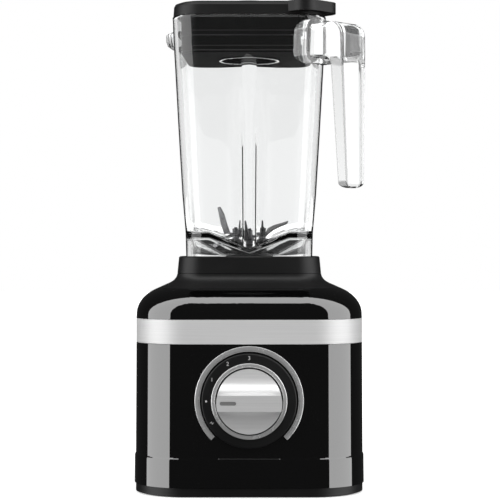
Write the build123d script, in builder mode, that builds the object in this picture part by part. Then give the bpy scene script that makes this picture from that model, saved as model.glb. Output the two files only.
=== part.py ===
from build123d import *
import math
import os

os.makedirs("parts", exist_ok=True)

# Countertop blender, millimetres.  The origin is the centre of the resting face,
# +Z is up, the control dial faces -Y and the jar handle points to +X -Y.

# ---------------------------------------------------------------- driving dimensions
GAP = 0.3                    # air between bodies that move past each other
RUN = 0.05                   # radial clearance of a shaft in its bearing
SEAM = 0.1                   # visible seam between fixed casings

TRAY_LOW, TRAY_TOP = 1.0, 7.5
BAND_LOW, BAND_TOP = 117.5, 136.6
SHOULDER_TOP = 159.9
PAD_TOP = 171.2
COLLAR_LOW, COLLAR_TOP = 171.5, 185.0
JAR_LOW, JAR_RIM = 182.0, 375.8
LID_LOW, LID_TOP = 376.0, 388.0

HOUSING_WALL = 2.8
JAR_WALL = 3.2
DIAL_Z = 74.5                # height of the dial centre
DIAL_SEAT_Y = -93.0          # flat seat of the dial parts in the front wall
DIAL_FACE_Y = -99.2          # face of the raised dial plinth

# outer skins: (height, half width, half depth, corner radius)
LOWER_SKIN = [(TRAY_TOP, 90.5, 95.0, 42.0), (28.8, 90.4, 94.9, 42.0), (29.6, 90.2, 94.7, 41.8),
              (30.2, 89.8, 94.3, 41.4), (30.6, 89.6, 94.1, 41.2), (BAND_LOW, 89.2, 93.7, 41.0)]
JAR_SKIN = [(JAR_LOW, 50.6, 50.6, 18.0), (204.0, 51.2, 51.2, 19.0), (234.0, 53.7, 53.7, 20.0),
            (284.0, 56.6, 56.6, 21.0), (334.0, 59.3, 59.3, 22.0), (346.0, 60.0, 60.0, 22.0),
            (JAR_RIM, 61.3, 61.3, 22.0)]
PAD_SKIN = [(SHOULDER_TOP, 73.0, 76.0, 30.0), (161.4, 69.6, 71.8, 28.0), (163.0, 66.0, 67.4, 25.0),
            (164.8, 62.2, 62.8, 22.5), (167.7, 58.9, 59.0, 20.5), (PAD_TOP, 57.6, 57.6, 20.0)]
LID_SKIN = [(LID_LOW, 60.7, 60.7, 22.0), (383.6, 60.2, 60.2, 22.0), (385.6, 59.2, 59.2, 21.5),
            (386.9, 56.4, 56.4, 20.5), (387.7, 50.0, 50.0, 18.0), (LID_TOP, 42.0, 42.0, 15.0)]

# shoulder of the upper housing: a quarter ellipse from the band to the jar pad
SHOULDER_FOOT, SHOULDER_RUN, SHOULDER_RISE = 58.2, 30.8, 22.6
SHOULDER_BASE = 140.0
SHOULDER_STEPS = 6
SHOULDER_END = math.acos((73.0 - SHOULDER_FOOT) / SHOULDER_RUN)


def inset(skin, wall):
    """The inner skin of a shell whose wall is the given thickness."""
    return [(level, wide - wall, deep - wall, corner - wall) for level, wide, deep, corner in skin]


def shoulder(wall):
    """Sections of the domed shoulder, moved inwards by a wall thickness."""
    sections = [(BAND_TOP, 89.2 - wall, 93.7 - wall, 41.0 - wall)]
    for step in range(SHOULDER_STEPS + 1):
        part_way = step / SHOULDER_STEPS
        turn = SHOULDER_END * part_way
        half = SHOULDER_FOOT + (SHOULDER_RUN - wall) * math.cos(turn)
        level = SHOULDER_BASE + (SHOULDER_RISE - wall) * math.sin(turn)
        corner = 41.0 - 11.0 * part_way ** 2 - wall
        sections.append((level, half, half + 4.5 - 1.5 * part_way, corner))
    return sections


def facing_front(y):
    """Plane at the dial centre: x to the right, y up, drawn things grow towards the front."""
    return Plane(origin=(0, y, DIAL_Z), x_dir=(1, 0, 0), z_dir=(0, -1, 0))


CORNERS = [(1, 1), (-1, 1), (-1, -1), (1, -1)]

# ---------------------------------------------------------------- base: foot and tray
FOOT_TOP = 3.0
TRAY_SCREW_X, TRAY_SCREW_Y = 65.5, 70.0
MOUNT_X, MOUNT_Y = 47.0, 34.0
MOUNT_LOW, BRACKET_LOW = 19.0, 24.0
POST_SPLIT = 15.5

with BuildPart() as foot_ring:
    with BuildSketch():
        RectangleRounded(2 * 87.0, 2 * 91.5, 38.5)
        RectangleRounded(2 * 81.0, 2 * 85.5, 32.5, mode=Mode.SUBTRACT)
    extrude(amount=FOOT_TOP)
    chamfer(foot_ring.edges().group_by(Axis.Z)[0], 0.6)
foot_ring.part.label = "foot_ring"

with BuildPart() as base_tray:
    with BuildSketch(Plane.XY.offset(TRAY_LOW)):
        RectangleRounded(2 * 89.5, 2 * 94.0, 41.0)
    extrude(amount=TRAY_TOP - TRAY_LOW)
    with BuildSketch(Plane.XY.offset(TRAY_TOP)):
        RectangleRounded(2 * 87.4, 2 * 91.9, 38.9)
    extrude(amount=4.5)
    with BuildSketch(Plane.XY.offset(4.6)):
        RectangleRounded(2 * 84.8, 2 * 89.3, 36.3)
    extrude(amount=12.0, mode=Mode.SUBTRACT)
    with BuildSketch(Plane.XY.offset(4.0)):
        for side_x, side_y in CORNERS:
            with Locations((side_x * TRAY_SCREW_X, side_y * TRAY_SCREW_Y)):
                Circle(5.2)
    extrude(amount=POST_SPLIT - 4.0)
    with BuildSketch(Plane.XY.offset(4.0)):
        for side_x, side_y in CORNERS:
            with Locations((side_x * MOUNT_X, side_y * MOUNT_Y)):
                Circle(8.0)
    extrude(amount=MOUNT_LOW - 4.0)
    with BuildSketch(Plane.XY.offset(TRAY_LOW)):
        RectangleRounded(2 * 87.1, 2 * 91.6, 38.6)
        RectangleRounded(2 * 80.9, 2 * 85.4, 32.4, mode=Mode.SUBTRACT)
    extrude(amount=FOOT_TOP - TRAY_LOW, mode=Mode.SUBTRACT)
    with BuildSketch(Plane.XY.offset(TRAY_LOW)):
        with GridLocations(9.0, 40.0, 8, 3):
            SlotOverall(30.0, 4.0, rotation=90)
    extrude(amount=5.0, mode=Mode.SUBTRACT)
    with Locations(*[(x * TRAY_SCREW_X, y * TRAY_SCREW_Y, TRAY_LOW) for x, y in CORNERS]):
        Cylinder(2.0, 30.0, align=(Align.CENTER, Align.CENTER, Align.MIN), mode=Mode.SUBTRACT)
        Cylinder(4.2, 2.8, align=(Align.CENTER, Align.CENTER, Align.MIN), mode=Mode.SUBTRACT)
    with Locations(*[(x * MOUNT_X, y * MOUNT_Y, 8.0) for x, y in CORNERS]):
        Cylinder(2.0, 30.0, align=(Align.CENTER, Align.CENTER, Align.MIN), mode=Mode.SUBTRACT)
base_tray.part.label = "base_tray"

with BuildPart() as tray_screws:
    with Locations(*[(x * TRAY_SCREW_X, y * TRAY_SCREW_Y, 1.3) for x, y in CORNERS]):
        Cylinder(3.9, 2.4, align=(Align.CENTER, Align.CENTER, Align.MIN))
        Cylinder(1.9, 27.0, align=(Align.CENTER, Align.CENTER, Align.MIN))
        Cylinder(1.5, 1.4, align=(Align.CENTER, Align.CENTER, Align.MIN), mode=Mode.SUBTRACT)
tray_screws.part.label = "tray_screws"

# ---------------------------------------------------------------- base: housings and band
GLAND_X, GLAND_Z = 32.0, 19.0
BOARD_X = 67.6               # the control board hangs on pegs from the right wall
RING_OUT, RING_IN = 41.8, 37.8
RING_OPEN = 44.0             # half of the open angle at the bottom of the dial ring
PLINTH_R = 36.3

with BuildPart() as lower_housing:
    for level, wide, deep, corner in LOWER_SKIN:
        with BuildSketch(Plane.XY.offset(level)):
            RectangleRounded(2 * wide, 2 * deep, corner)
    loft(ruled=True)
    for level, wide, deep, corner in inset(LOWER_SKIN, HOUSING_WALL):
        with BuildSketch(Plane.XY.offset(level)):
            RectangleRounded(2 * wide, 2 * deep, corner)
    loft(ruled=True, mode=Mode.SUBTRACT)
    for side_x, side_y in CORNERS:
        outwards = Plane(origin=(side_x * TRAY_SCREW_X, side_y * TRAY_SCREW_Y, POST_SPLIT),
                         x_dir=(side_x, side_y, 0), z_dir=(0, 0, 1))
        with BuildSketch(outwards):
            Circle(5.2)
            with Locations((8.0, 0)):
                Rectangle(16.0, 3.0)
        extrude(amount=30.0)
    with BuildSketch(Plane.YZ.offset(BOARD_X)):
        with Locations((-16, 50), (-16, 84), (36, 50), (36, 84)):
            Circle(3.0)
    extrude(amount=19.4)
    with Locations(*[(x * TRAY_SCREW_X, y * TRAY_SCREW_Y, POST_SPLIT) for x, y in CORNERS]):
        Cylinder(2.0, 14.0, align=(Align.CENTER, Align.CENTER, Align.MIN), mode=Mode.SUBTRACT)
    with BuildSketch(facing_front(DIAL_SEAT_Y)):
        Circle(PLINTH_R + SEAM)
        Circle(RING_OUT + SEAM)
        Circle(RING_IN - SEAM, mode=Mode.SUBTRACT)
        with BuildLine():
            Polyline((0, 0), (-60, -60 / math.tan(math.radians(RING_OPEN))),
                     (60, -60 / math.tan(math.radians(RING_OPEN))), close=True)
        make_face(mode=Mode.SUBTRACT)
        Circle(PLINTH_R + SEAM)
    extrude(amount=10.0, mode=Mode.SUBTRACT)
    with BuildSketch(facing_front(-88.0)):
        Circle(5.3)
    extrude(amount=10.0, mode=Mode.SUBTRACT)
    with Locations(Location((GLAND_X, 92.0, GLAND_Z), (90, 0, 0))):
        Cylinder(5.7, 20.0, mode=Mode.SUBTRACT)
lower_housing.part.label = "lower_housing"

with BuildPart() as trim_band:
    with BuildSketch(Plane.XY.offset(BAND_LOW + SEAM)):
        RectangleRounded(2 * 89.2, 2 * 93.7, 41.0)
        RectangleRounded(2 * 87.7, 2 * 92.2, 39.5, mode=Mode.SUBTRACT)
    extrude(amount=BAND_TOP - BAND_LOW - 2 * SEAM)
    fillet(trim_band.edges().group_by(Axis.Z)[-1], 0.4)
    fillet(trim_band.edges().group_by(Axis.Z)[0], 0.4)
trim_band.part.label = "trim_band"

WELL_R = 24.5                # round well that holds the coupling
PAD_SCREW = 38.0

with BuildPart() as upper_housing:
    for level, wide, deep, corner in shoulder(0.0):
        with BuildSketch(Plane.XY.offset(level)):
            RectangleRounded(2 * wide, 2 * deep, corner)
    loft()
    with BuildSketch(Plane.XY.offset(BAND_LOW)):
        RectangleRounded(2 * 87.5, 2 * 92.0, 39.3)
    extrude(amount=BAND_TOP - BAND_LOW)
    for level, wide, deep, corner in shoulder(HOUSING_WALL):
        with BuildSketch(Plane.XY.offset(level)):
            RectangleRounded(2 * wide, 2 * deep, corner)
    loft(mode=Mode.SUBTRACT)
    with BuildSketch(Plane.XY.offset(BAND_LOW)):
        RectangleRounded(2 * 84.9, 2 * 89.4, 36.7)
    extrude(amount=BAND_TOP - BAND_LOW, mode=Mode.SUBTRACT)
    with Locations(*[(x * PAD_SCREW, y * PAD_SCREW, 148.0) for x, y in CORNERS]):
        Cylinder(4.6, SHOULDER_TOP - 149.0, align=(Align.CENTER, Align.CENTER, Align.MIN))
        Cylinder(2.0, 20.0, align=(Align.CENTER, Align.CENTER, Align.MIN), mode=Mode.SUBTRACT)
    with Locations((0, 0, 150.0)):
        Cylinder(WELL_R, 20.0, align=(Align.CENTER, Align.CENTER, Align.MIN), mode=Mode.SUBTRACT)
upper_housing.part.label = "upper_housing"

BOSS_TOP = 177.5

with BuildPart() as jar_pad:
    for level, wide, deep, corner in PAD_SKIN:
        with BuildSketch(Plane.XY.offset(level)):
            RectangleRounded(2 * wide, 2 * deep, corner)
    loft()
    with BuildSketch(Plane.XY.offset(PAD_TOP)):
        RectangleRounded(100.0, 100.0, 16.0)
    extrude(amount=BOSS_TOP - PAD_TOP)
    fillet(jar_pad.edges().group_by(Axis.Z)[-1], 1.5)
    with Locations((0, 0, 150.0)):
        Cylinder(WELL_R, 40.0, align=(Align.CENTER, Align.CENTER, Align.MIN), mode=Mode.SUBTRACT)
    with Locations(*[(x * PAD_SCREW, y * PAD_SCREW, 150.0) for x, y in CORNERS]):
        Cylinder(2.0, 40.0, align=(Align.CENTER, Align.CENTER, Align.MIN), mode=Mode.SUBTRACT)
    with Locations(*[(x * PAD_SCREW, y * PAD_SCREW, 172.8) for x, y in CORNERS]):
        Cylinder(4.2, 10.0, align=(Align.CENTER, Align.CENTER, Align.MIN), mode=Mode.SUBTRACT)
jar_pad.part.label = "jar_pad"

with BuildPart() as pad_screws:
    with Locations(*[(x * PAD_SCREW, y * PAD_SCREW, 150.0) for x, y in CORNERS]):
        Cylinder(1.9, 25.0, align=(Align.CENTER, Align.CENTER, Align.MIN))
    with Locations(*[(x * PAD_SCREW, y * PAD_SCREW, 172.9) for x, y in CORNERS]):
        Cylinder(3.9, 2.6, align=(Align.CENTER, Align.CENTER, Align.MIN))
    with Locations(*[(x * PAD_SCREW, y * PAD_SCREW, 174.2) for x, y in CORNERS]):
        Cylinder(1.6, 2.6, align=(Align.CENTER, Align.CENTER, Align.MIN), mode=Mode.SUBTRACT)
pad_screws.part.label = "pad_screws"

# ---------------------------------------------------------------- base: motor frame
SHAFT_R = 4.0
BEARING_R = 11.0
CORE_LOW, CORE_TOP = 62.0, 98.0
STATOR_BORE = 23.5
BRACKET_W, BRACKET_D = 54.0, 50.0
UPPER_PLATE = 114.0
PLATE = 3.5
BOLT_X, BOLT_Y = 37.8, 40.3
bolt_places = [(x * BOLT_X, y * BOLT_Y) for x, y in CORNERS]
mount_places = [(x * MOUNT_X, y * MOUNT_Y) for x, y in CORNERS]

with BuildPart() as motor_lower_bracket:
    with BuildSketch(Plane.XY.offset(BRACKET_LOW)):
        RectangleRounded(2 * BRACKET_W + 4, 2 * BRACKET_D, 12.0)
        with PolarLocations(30.0, 8, start_angle=22.5):
            Circle(6.5, mode=Mode.SUBTRACT)
    extrude(amount=PLATE)
    with Locations((0, 0, 20.0)):
        Cylinder(14.0, 11.0, align=(Align.CENTER, Align.CENTER, Align.MIN))
    with Locations((0, 0, 22.0)):
        Cylinder(BEARING_R + RUN, 20, align=(Align.CENTER, Align.CENTER, Align.MIN), mode=Mode.SUBTRACT)
    with Locations(*[(x, y, BRACKET_LOW) for x, y in bolt_places]):
        Cylinder(4.4, CORE_LOW - BRACKET_LOW, align=(Align.CENTER, Align.CENTER, Align.MIN))
        Cylinder(2.0, 60.0, mode=Mode.SUBTRACT)
        Cylinder(2.0, 60.0, align=(Align.CENTER, Align.CENTER, Align.MIN), mode=Mode.SUBTRACT)
    with Locations(*[(x, y, BRACKET_LOW) for x, y in mount_places]):
        Cylinder(2.0, 20.0, mode=Mode.SUBTRACT)
motor_lower_bracket.part.label = "motor_lower_bracket"

with BuildPart() as motor_upper_bracket:
    with BuildSketch(Plane.XY.offset(UPPER_PLATE)):
        RectangleRounded(2 * BRACKET_W, 2 * BRACKET_D, 14.0)
        with PolarLocations(30.0, 8, start_angle=22.5):
            Circle(8.0, mode=Mode.SUBTRACT)
    extrude(amount=PLATE)
    with Locations((0, 0, UPPER_PLATE - 0.5)):
        Cylinder(14.0, 12.0, align=(Align.CENTER, Align.CENTER, Align.MIN))
        Cylinder(6.0, 12.0, align=(Align.CENTER, Align.CENTER, Align.MIN), mode=Mode.SUBTRACT)
    with Locations((0, 0, 116.0)):
        Cylinder(BEARING_R + RUN, 20, align=(Align.CENTER, Align.CENTER, Align.MIN), mode=Mode.SUBTRACT)
    with Locations(*[(x, y, CORE_TOP) for x, y in bolt_places]):
        Cylinder(4.4, UPPER_PLATE - CORE_TOP, align=(Align.CENTER, Align.CENTER, Align.MIN))
        Cylinder(2.0, 60.0, align=(Align.CENTER, Align.CENTER, Align.MIN), mode=Mode.SUBTRACT)
motor_upper_bracket.part.label = "motor_upper_bracket"

with BuildPart() as lower_bearing:
    with Locations((0, 0, 22.0)):
        Cylinder(BEARING_R, 7.0, align=(Align.CENTER, Align.CENTER, Align.MIN))
    fillet(lower_bearing.edges(), 0.6)
    with Locations((0, 0, 22.0)):
        Cylinder(SHAFT_R + RUN, 7.0, align=(Align.CENTER, Align.CENTER, Align.MIN), mode=Mode.SUBTRACT)
lower_bearing.part.label = "lower_bearing"

with BuildPart() as upper_bearing:
    with Locations((0, 0, 116.0)):
        Cylinder(BEARING_R, 7.0, align=(Align.CENTER, Align.CENTER, Align.MIN))
    fillet(upper_bearing.edges(), 0.6)
    with Locations((0, 0, 116.0)):
        Cylinder(SHAFT_R + RUN, 7.0, align=(Align.CENTER, Align.CENTER, Align.MIN), mode=Mode.SUBTRACT)
upper_bearing.part.label = "upper_bearing"

with BuildPart() as stator_core:
    with BuildSketch(Plane.XY.offset(CORE_LOW)):
        RectangleRounded(84.0, 88.0, 8.0)
        RectangleRounded(68.0, 74.0, 6.0, mode=Mode.SUBTRACT)
        Circle(27.6)
        with Locations((0, 31.0), (0, -31.0)):
            Rectangle(26.0, 14.0)
        Circle(STATOR_BORE, mode=Mode.SUBTRACT)
        Rectangle(100.0, 25.0, mode=Mode.SUBTRACT)
        with Locations((38.0, 0), (-38.0, 0)):
            Rectangle(8.0, 26.0)
        with Locations(*bolt_places):
            Circle(2.0, mode=Mode.SUBTRACT)
    extrude(amount=CORE_TOP - CORE_LOW)
stator_core.part.label = "stator_core"

with BuildPart() as field_coils:
    for side in (1, -1):
        with BuildSketch(Plane(origin=(0, side * 28.6, 80.0), x_dir=(1, 0, 0), z_dir=(0, side, 0))):
            RectangleRounded(56.0, 60.0, 9.0)
            Rectangle(26.6, 36.6, mode=Mode.SUBTRACT)
        extrude(amount=7.8)
field_coils.part.label = "field_coils"

HOLDER_Z = 40.0
with BuildPart() as brush_holders:
    for side in (1, -1):
        with BuildSketch(Plane(origin=(side * 14.5, 0, HOLDER_Z), x_dir=(0, side, 0), z_dir=(side, 0, 0))):
            Rectangle(10.0, 12.0)
            with Locations((0, -9.25)):
                Rectangle(10.0, 6.5)
            Rectangle(6.4, 8.4, mode=Mode.SUBTRACT)
        extrude(amount=21.0)
brush_holders.part.label = "brush_holders"

with BuildPart() as carbon_brushes:
    for side in (1, -1):
        with BuildSketch(Plane(origin=(side * 11.4, 0, HOLDER_Z), x_dir=(0, side, 0), z_dir=(side, 0, 0))):
            Rectangle(6.2, 8.2)
        extrude(amount=17.0)
carbon_brushes.part.label = "carbon_brushes"

with BuildPart() as brush_springs:
    for side in (1, -1):
        with BuildSketch(Plane(origin=(0, 2.0, HOLDER_Z), x_dir=(side, 0, 0), z_dir=(0, -side, 0))):
            with BuildLine():
                Polyline((28.5, -2.0 * side), (29.3, -2.0 * side), (36.6, 2.6 * side),
                         (36.6, 8.6 * side), (35.8, 8.6 * side), (35.8, 3.1 * side), close=True)
            make_face()
        extrude(amount=4.0 * side)
brush_springs.part.label = "brush_springs"

with BuildPart() as motor_screws:
    with Locations(*[(x, y, UPPER_PLATE + PLATE) for x, y in bolt_places]):
        Cylinder(3.8, 3.0, align=(Align.CENTER, Align.CENTER, Align.MIN))
        Cylinder(1.9, 95.5, align=(Align.CENTER, Align.CENTER, Align.MAX))
        Cylinder(1.6, 3.0, align=(Align.CENTER, Align.CENTER, Align.MIN), mode=Mode.SUBTRACT)
motor_screws.part.label = "motor_screws"

with BuildPart() as motor_mounts:
    with Locations(*[(x, y, MOUNT_LOW) for x, y in mount_places]):
        Cylinder(7.4, BRACKET_LOW - MOUNT_LOW, align=(Align.CENTER, Align.CENTER, Align.MIN))
        Cylinder(2.1, 10.0, align=(Align.CENTER, Align.CENTER, Align.MIN), mode=Mode.SUBTRACT)
motor_mounts.part.label = "motor_mounts"

with BuildPart() as mount_screws:
    with Locations(*[(x, y, BRACKET_LOW + PLATE) for x, y in mount_places]):
        Cylinder(4.0, 2.6, align=(Align.CENTER, Align.CENTER, Align.MIN))
        Cylinder(1.9, 19.0, align=(Align.CENTER, Align.CENTER, Align.MAX))
mount_screws.part.label = "mount_screws"

FAN_R = 42.0
with BuildPart() as air_baffle:
    with BuildSketch(Plane.XY.offset(UPPER_PLATE + PLATE)):
        Circle(FAN_R + 7.5)
        Circle(FAN_R + 3.0, mode=Mode.SUBTRACT)
    extrude(amount=2.0)
    with BuildSketch(Plane.XY.offset(UPPER_PLATE + PLATE)):
        Circle(FAN_R + 5.2)
        Circle(FAN_R + 3.0, mode=Mode.SUBTRACT)
    extrude(amount=25.0)
    with Locations(*[(x, y, UPPER_PLATE + PLATE) for x, y in bolt_places]):
        Cylinder(4.4, 9.0, align=(Align.CENTER, Align.CENTER, Align.MIN), mode=Mode.SUBTRACT)
air_baffle.part.label = "air_baffle"

# ---------------------------------------------------------------- base: electrics
with BuildPart() as control_board:
    with BuildSketch(Plane.YZ.offset(BOARD_X - 1.6)):
        with Locations((10, 67)):
            RectangleRounded(62.0, 44.0, 2.0)
    extrude(amount=1.6)
control_board.part.label = "control_board"

with BuildPart() as interference_capacitor:
    with Locations((BOARD_X - 1.6, 22.0, 67.0)):
        Box(9.0, 26.0, 18.0, align=(Align.MAX, Align.CENTER, Align.CENTER))
    fillet(interference_capacitor.edges().filter_by(Axis.X), 1.5)
interference_capacitor.part.label = "interference_capacitor"

with BuildPart() as thermal_cutout:
    with Locations((42.0, 0, 80.0)):
        Box(5.0, 10.0, 18.0, align=(Align.MIN, Align.CENTER, Align.CENTER))
    fillet(thermal_cutout.edges().filter_by(Axis.X), 2.0)
thermal_cutout.part.label = "thermal_cutout"

STEM_R = 3.0
SWITCH_BACK_Y = -70.0
with BuildPart() as rotary_switch:
    with BuildSketch(facing_front(SWITCH_BACK_Y)):
        RectangleRounded(34.0, 34.0, 3.0)
    extrude(amount=18.0)
    with BuildSketch(facing_front(SWITCH_BACK_Y - 18.0)):
        Circle(5.0)
    extrude(amount=8.6)
    with BuildSketch(facing_front(SWITCH_BACK_Y - 1.5)):
        Circle(STEM_R + RUN)
    extrude(amount=40.0, mode=Mode.SUBTRACT)
rotary_switch.part.label = "rotary_switch"

with BuildPart() as switch_nut:
    with BuildSketch(facing_front(DIAL_SEAT_Y)):
        RegularPolygon(8.0, 6)
        Circle(5.05, mode=Mode.SUBTRACT)
    extrude(amount=2.8)
switch_nut.part.label = "switch_nut"

with BuildPart() as dial_plinth:
    with BuildSketch(facing_front(DIAL_SEAT_Y)):
        Circle(PLINTH_R)
    extrude(amount=DIAL_SEAT_Y - DIAL_FACE_Y)
    fillet(dial_plinth.edges().sort_by(Axis.Y)[0], 0.8)
    with BuildSketch(facing_front(DIAL_SEAT_Y)):
        Circle(12.0)
    extrude(amount=4.0, mode=Mode.SUBTRACT)
    with BuildSketch(facing_front(DIAL_SEAT_Y)):
        Circle(3.6)
    extrude(amount=10.0, mode=Mode.SUBTRACT)
dial_plinth.part.label = "dial_plinth"

RING_FACE_Y = -96.4
with BuildPart() as dial_trim_ring:
    with BuildSketch(facing_front(DIAL_SEAT_Y)):
        Circle(RING_OUT)
        Circle(RING_IN, mode=Mode.SUBTRACT)
        with BuildLine():
            Polyline((0, 0), (-60, -60 / math.tan(math.radians(RING_OPEN + 0.2))),
                     (60, -60 / math.tan(math.radians(RING_OPEN + 0.2))), close=True)
        make_face(mode=Mode.SUBTRACT)
    extrude(amount=DIAL_SEAT_Y - RING_FACE_Y)
    with BuildSketch(facing_front(RING_FACE_Y)):
        Circle(38.9)
        Circle(38.5, mode=Mode.SUBTRACT)
    extrude(amount=-0.5, mode=Mode.SUBTRACT)
    fillet(dial_trim_ring.edges().filter_by(GeomType.CIRCLE).group_by(Axis.Y)[0].sort_by(SortBy.RADIUS)[-1], 0.5)
dial_trim_ring.part.label = "dial_trim_ring"

with BuildPart() as knob_bezel:
    with BuildSketch(facing_front(DIAL_FACE_Y)):
        Circle(29.1)
        Circle(26.0, mode=Mode.SUBTRACT)
    extrude(amount=2.0)
    fillet(knob_bezel.edges().group_by(Axis.Y)[0], 0.7)
knob_bezel.part.label = "knob_bezel"

with BuildPart() as cord_gland:
    with Locations(Location((GLAND_X, 88.0, GLAND_Z), (-90, 0, 0))):
        Cylinder(5.5, 8.0, align=(Align.CENTER, Align.CENTER, Align.MIN))
    with Locations(Location((GLAND_X, 95.2, GLAND_Z), (-90, 0, 0))):
        Cylinder(8.5, 2.8, align=(Align.CENTER, Align.CENTER, Align.MIN))
    fillet(cord_gland.edges().sort_by(Axis.Y)[-1], 1.0)
    with Locations(Location((GLAND_X, 95.0, GLAND_Z), (90, 0, 0))):
        Cylinder(3.6, 20.0, mode=Mode.SUBTRACT)
cord_gland.part.label = "cord_gland"

# ---------------------------------------------------------------- rotor
SLOTS = 12
COUPLER_SEAT = 163.0
SHAFT_TOP = 171.0
LOBES = 6

with BuildPart() as motor_shaft:
    with Locations((0, 0, 22.4)):
        Cylinder(SHAFT_R, SHAFT_TOP - 22.4, align=(Align.CENTER, Align.CENTER, Align.MIN))
    chamfer(motor_shaft.edges(), 0.5)
motor_shaft.part.label = "motor_shaft"

with BuildPart() as armature_core:
    with BuildSketch(Plane.XY.offset(CORE_LOW)):
        Circle(STATOR_BORE - 0.7)
        Circle(SHAFT_R + RUN, mode=Mode.SUBTRACT)
        with PolarLocations(18.0, SLOTS):
            Rectangle(10.0, 3.6, mode=Mode.SUBTRACT)
    extrude(amount=CORE_TOP - CORE_LOW)
armature_core.part.label = "armature_core"

with BuildPart() as armature_windings:
    for level in (CORE_LOW - 12.1, CORE_TOP + 0.1):
        with BuildSketch(Plane.XY.offset(level)):
            Circle(20.0)
            Circle(SHAFT_R + 1.0, mode=Mode.SUBTRACT)
        extrude(amount=12.0)
    fillet(armature_windings.edges().filter_by(GeomType.CIRCLE).sort_by(SortBy.RADIUS)[-4:], 3.5)
    with BuildSketch(Plane.XY.offset(CORE_LOW - 2)):
        with PolarLocations(16.6, SLOTS):
            Rectangle(6.8, 3.4)
    extrude(amount=CORE_TOP - CORE_LOW + 4)
armature_windings.part.label = "armature_windings"

with BuildPart() as commutator:
    with BuildSketch(Plane.XY.offset(34.5)):
        Circle(11.0)
        Circle(SHAFT_R + RUN, mode=Mode.SUBTRACT)
        with PolarLocations(11.0, 2 * SLOTS):
            Rectangle(1.6, 0.5, mode=Mode.SUBTRACT)
    extrude(amount=13.0)
commutator.part.label = "commutator"

with BuildPart() as cooling_fan:
    with Locations((0, 0, 127.5)):
        Cylinder(11.0, 13.0, align=(Align.CENTER, Align.CENTER, Align.MIN))
        Cylinder(FAN_R, 1.8, align=(Align.CENTER, Align.CENTER, Align.MIN))
        Cylinder(SHAFT_R + RUN, 13, align=(Align.CENTER, Align.CENTER, Align.MIN), mode=Mode.SUBTRACT)
    with BuildSketch(Plane.XY.offset(129.0)):
        with PolarLocations(26.0, 9):
            Rectangle(31.0, 1.6, rotation=14)
    extrude(amount=10.5)
cooling_fan.part.label = "cooling_fan"

with BuildPart() as drive_coupler:
    with Locations((0, 0, COUPLER_SEAT - 5.0)):
        Cylinder(18.0, 5.0, align=(Align.CENTER, Align.CENTER, Align.MIN))
    fillet(drive_coupler.edges().group_by(Axis.Z)[-1], 1.2)
    with BuildSketch(Plane.XY.offset(COUPLER_SEAT - 1)):
        Circle(7.6)
        with PolarLocations(7.6, LOBES):
            Circle(2.6)
    extrude(amount=13.4)
    with Locations((0, 0, COUPLER_SEAT - 5.0)):
        Cylinder(SHAFT_R + RUN, 13.2, align=(Align.CENTER, Align.CENTER, Align.MIN), mode=Mode.SUBTRACT)
drive_coupler.part.label = "drive_coupler"

# ---------------------------------------------------------------- knob
KNOB_R = 24.8
KNOB_BACK_Y, KNOB_TIP_Y = -99.6, -119.0
BAR_HALF = 6.1
SCOOP_R = 15.5

with BuildPart() as control_knob:
    with BuildSketch(facing_front(KNOB_BACK_Y)):
        Circle(KNOB_R)
    extrude(amount=KNOB_BACK_Y - KNOB_TIP_Y)
    for side in (1, -1):
        with BuildSketch(Plane.YZ):
            with Locations((KNOB_TIP_Y, DIAL_Z + side * (BAR_HALF + SCOOP_R))):
                Circle(SCOOP_R)
            with Locations((KNOB_TIP_Y, DIAL_Z + side * (BAR_HALF + SCOOP_R + 10))):
                Rectangle(2 * SCOOP_R, 20.0)
        extrude(amount=KNOB_R + 2, both=True, mode=Mode.SUBTRACT)
    with BuildSketch(facing_front(KNOB_TIP_Y)):
        with Locations((-16.0, 0)):
            SlotOverall(13.0, 3.4)
    extrude(amount=-0.8, mode=Mode.SUBTRACT)
    with BuildSketch(facing_front(KNOB_BACK_Y)):
        Circle(STEM_R + RUN)
    extrude(amount=12.0, mode=Mode.SUBTRACT)
control_knob.part.label = "control_knob"

with BuildPart() as knob_shaft:
    with BuildSketch(facing_front(SWITCH_BACK_Y - 2.0)):
        Circle(STEM_R)
    extrude(amount=39.0)
knob_shaft.part.label = "knob_shaft"

# ---------------------------------------------------------------- jar
FLOOR_EDGE, FLOOR_MID = 204.0, 190.0
# bowl floor: (height, half width, corner radius)
BOWL_OUTSIDE = [(FLOOR_MID - 3.7, 23.0, 22.0), (190.0, 36.0, 19.0), (195.2, 44.6, 17.5),
                (FLOOR_EDGE, 49.0, 17.0)]
BOWL_INSIDE = [(FLOOR_MID, 22.0, 21.0), (193.4, 34.6, 18.0), (198.2, 43.2, 16.4),
               (FLOOR_EDGE, 48.0, 15.8)]
HUB_HOLE = 13.0
RIB_LOW, RIB_HIGH = 205.0, 330.0
SPOUT_LOW, SPOUT_HIGH = 350.0, JAR_RIM
DIAGONAL = math.sqrt(0.5)
inner_skin = [section for section in inset(JAR_SKIN, JAR_WALL) if section[0] >= FLOOR_EDGE]
inner_skin[-1] = (JAR_RIM, 58.1, 58.1, 18.8)


def wall_inside(level):
    """Half width of the jar's inside at a height, read between its sections."""
    for (low, near, _, _), (high, far, _, _) in zip(inner_skin, inner_skin[1:]):
        if low <= level <= high:
            return near + (far - near) * (level - low) / (high - low)


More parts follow.
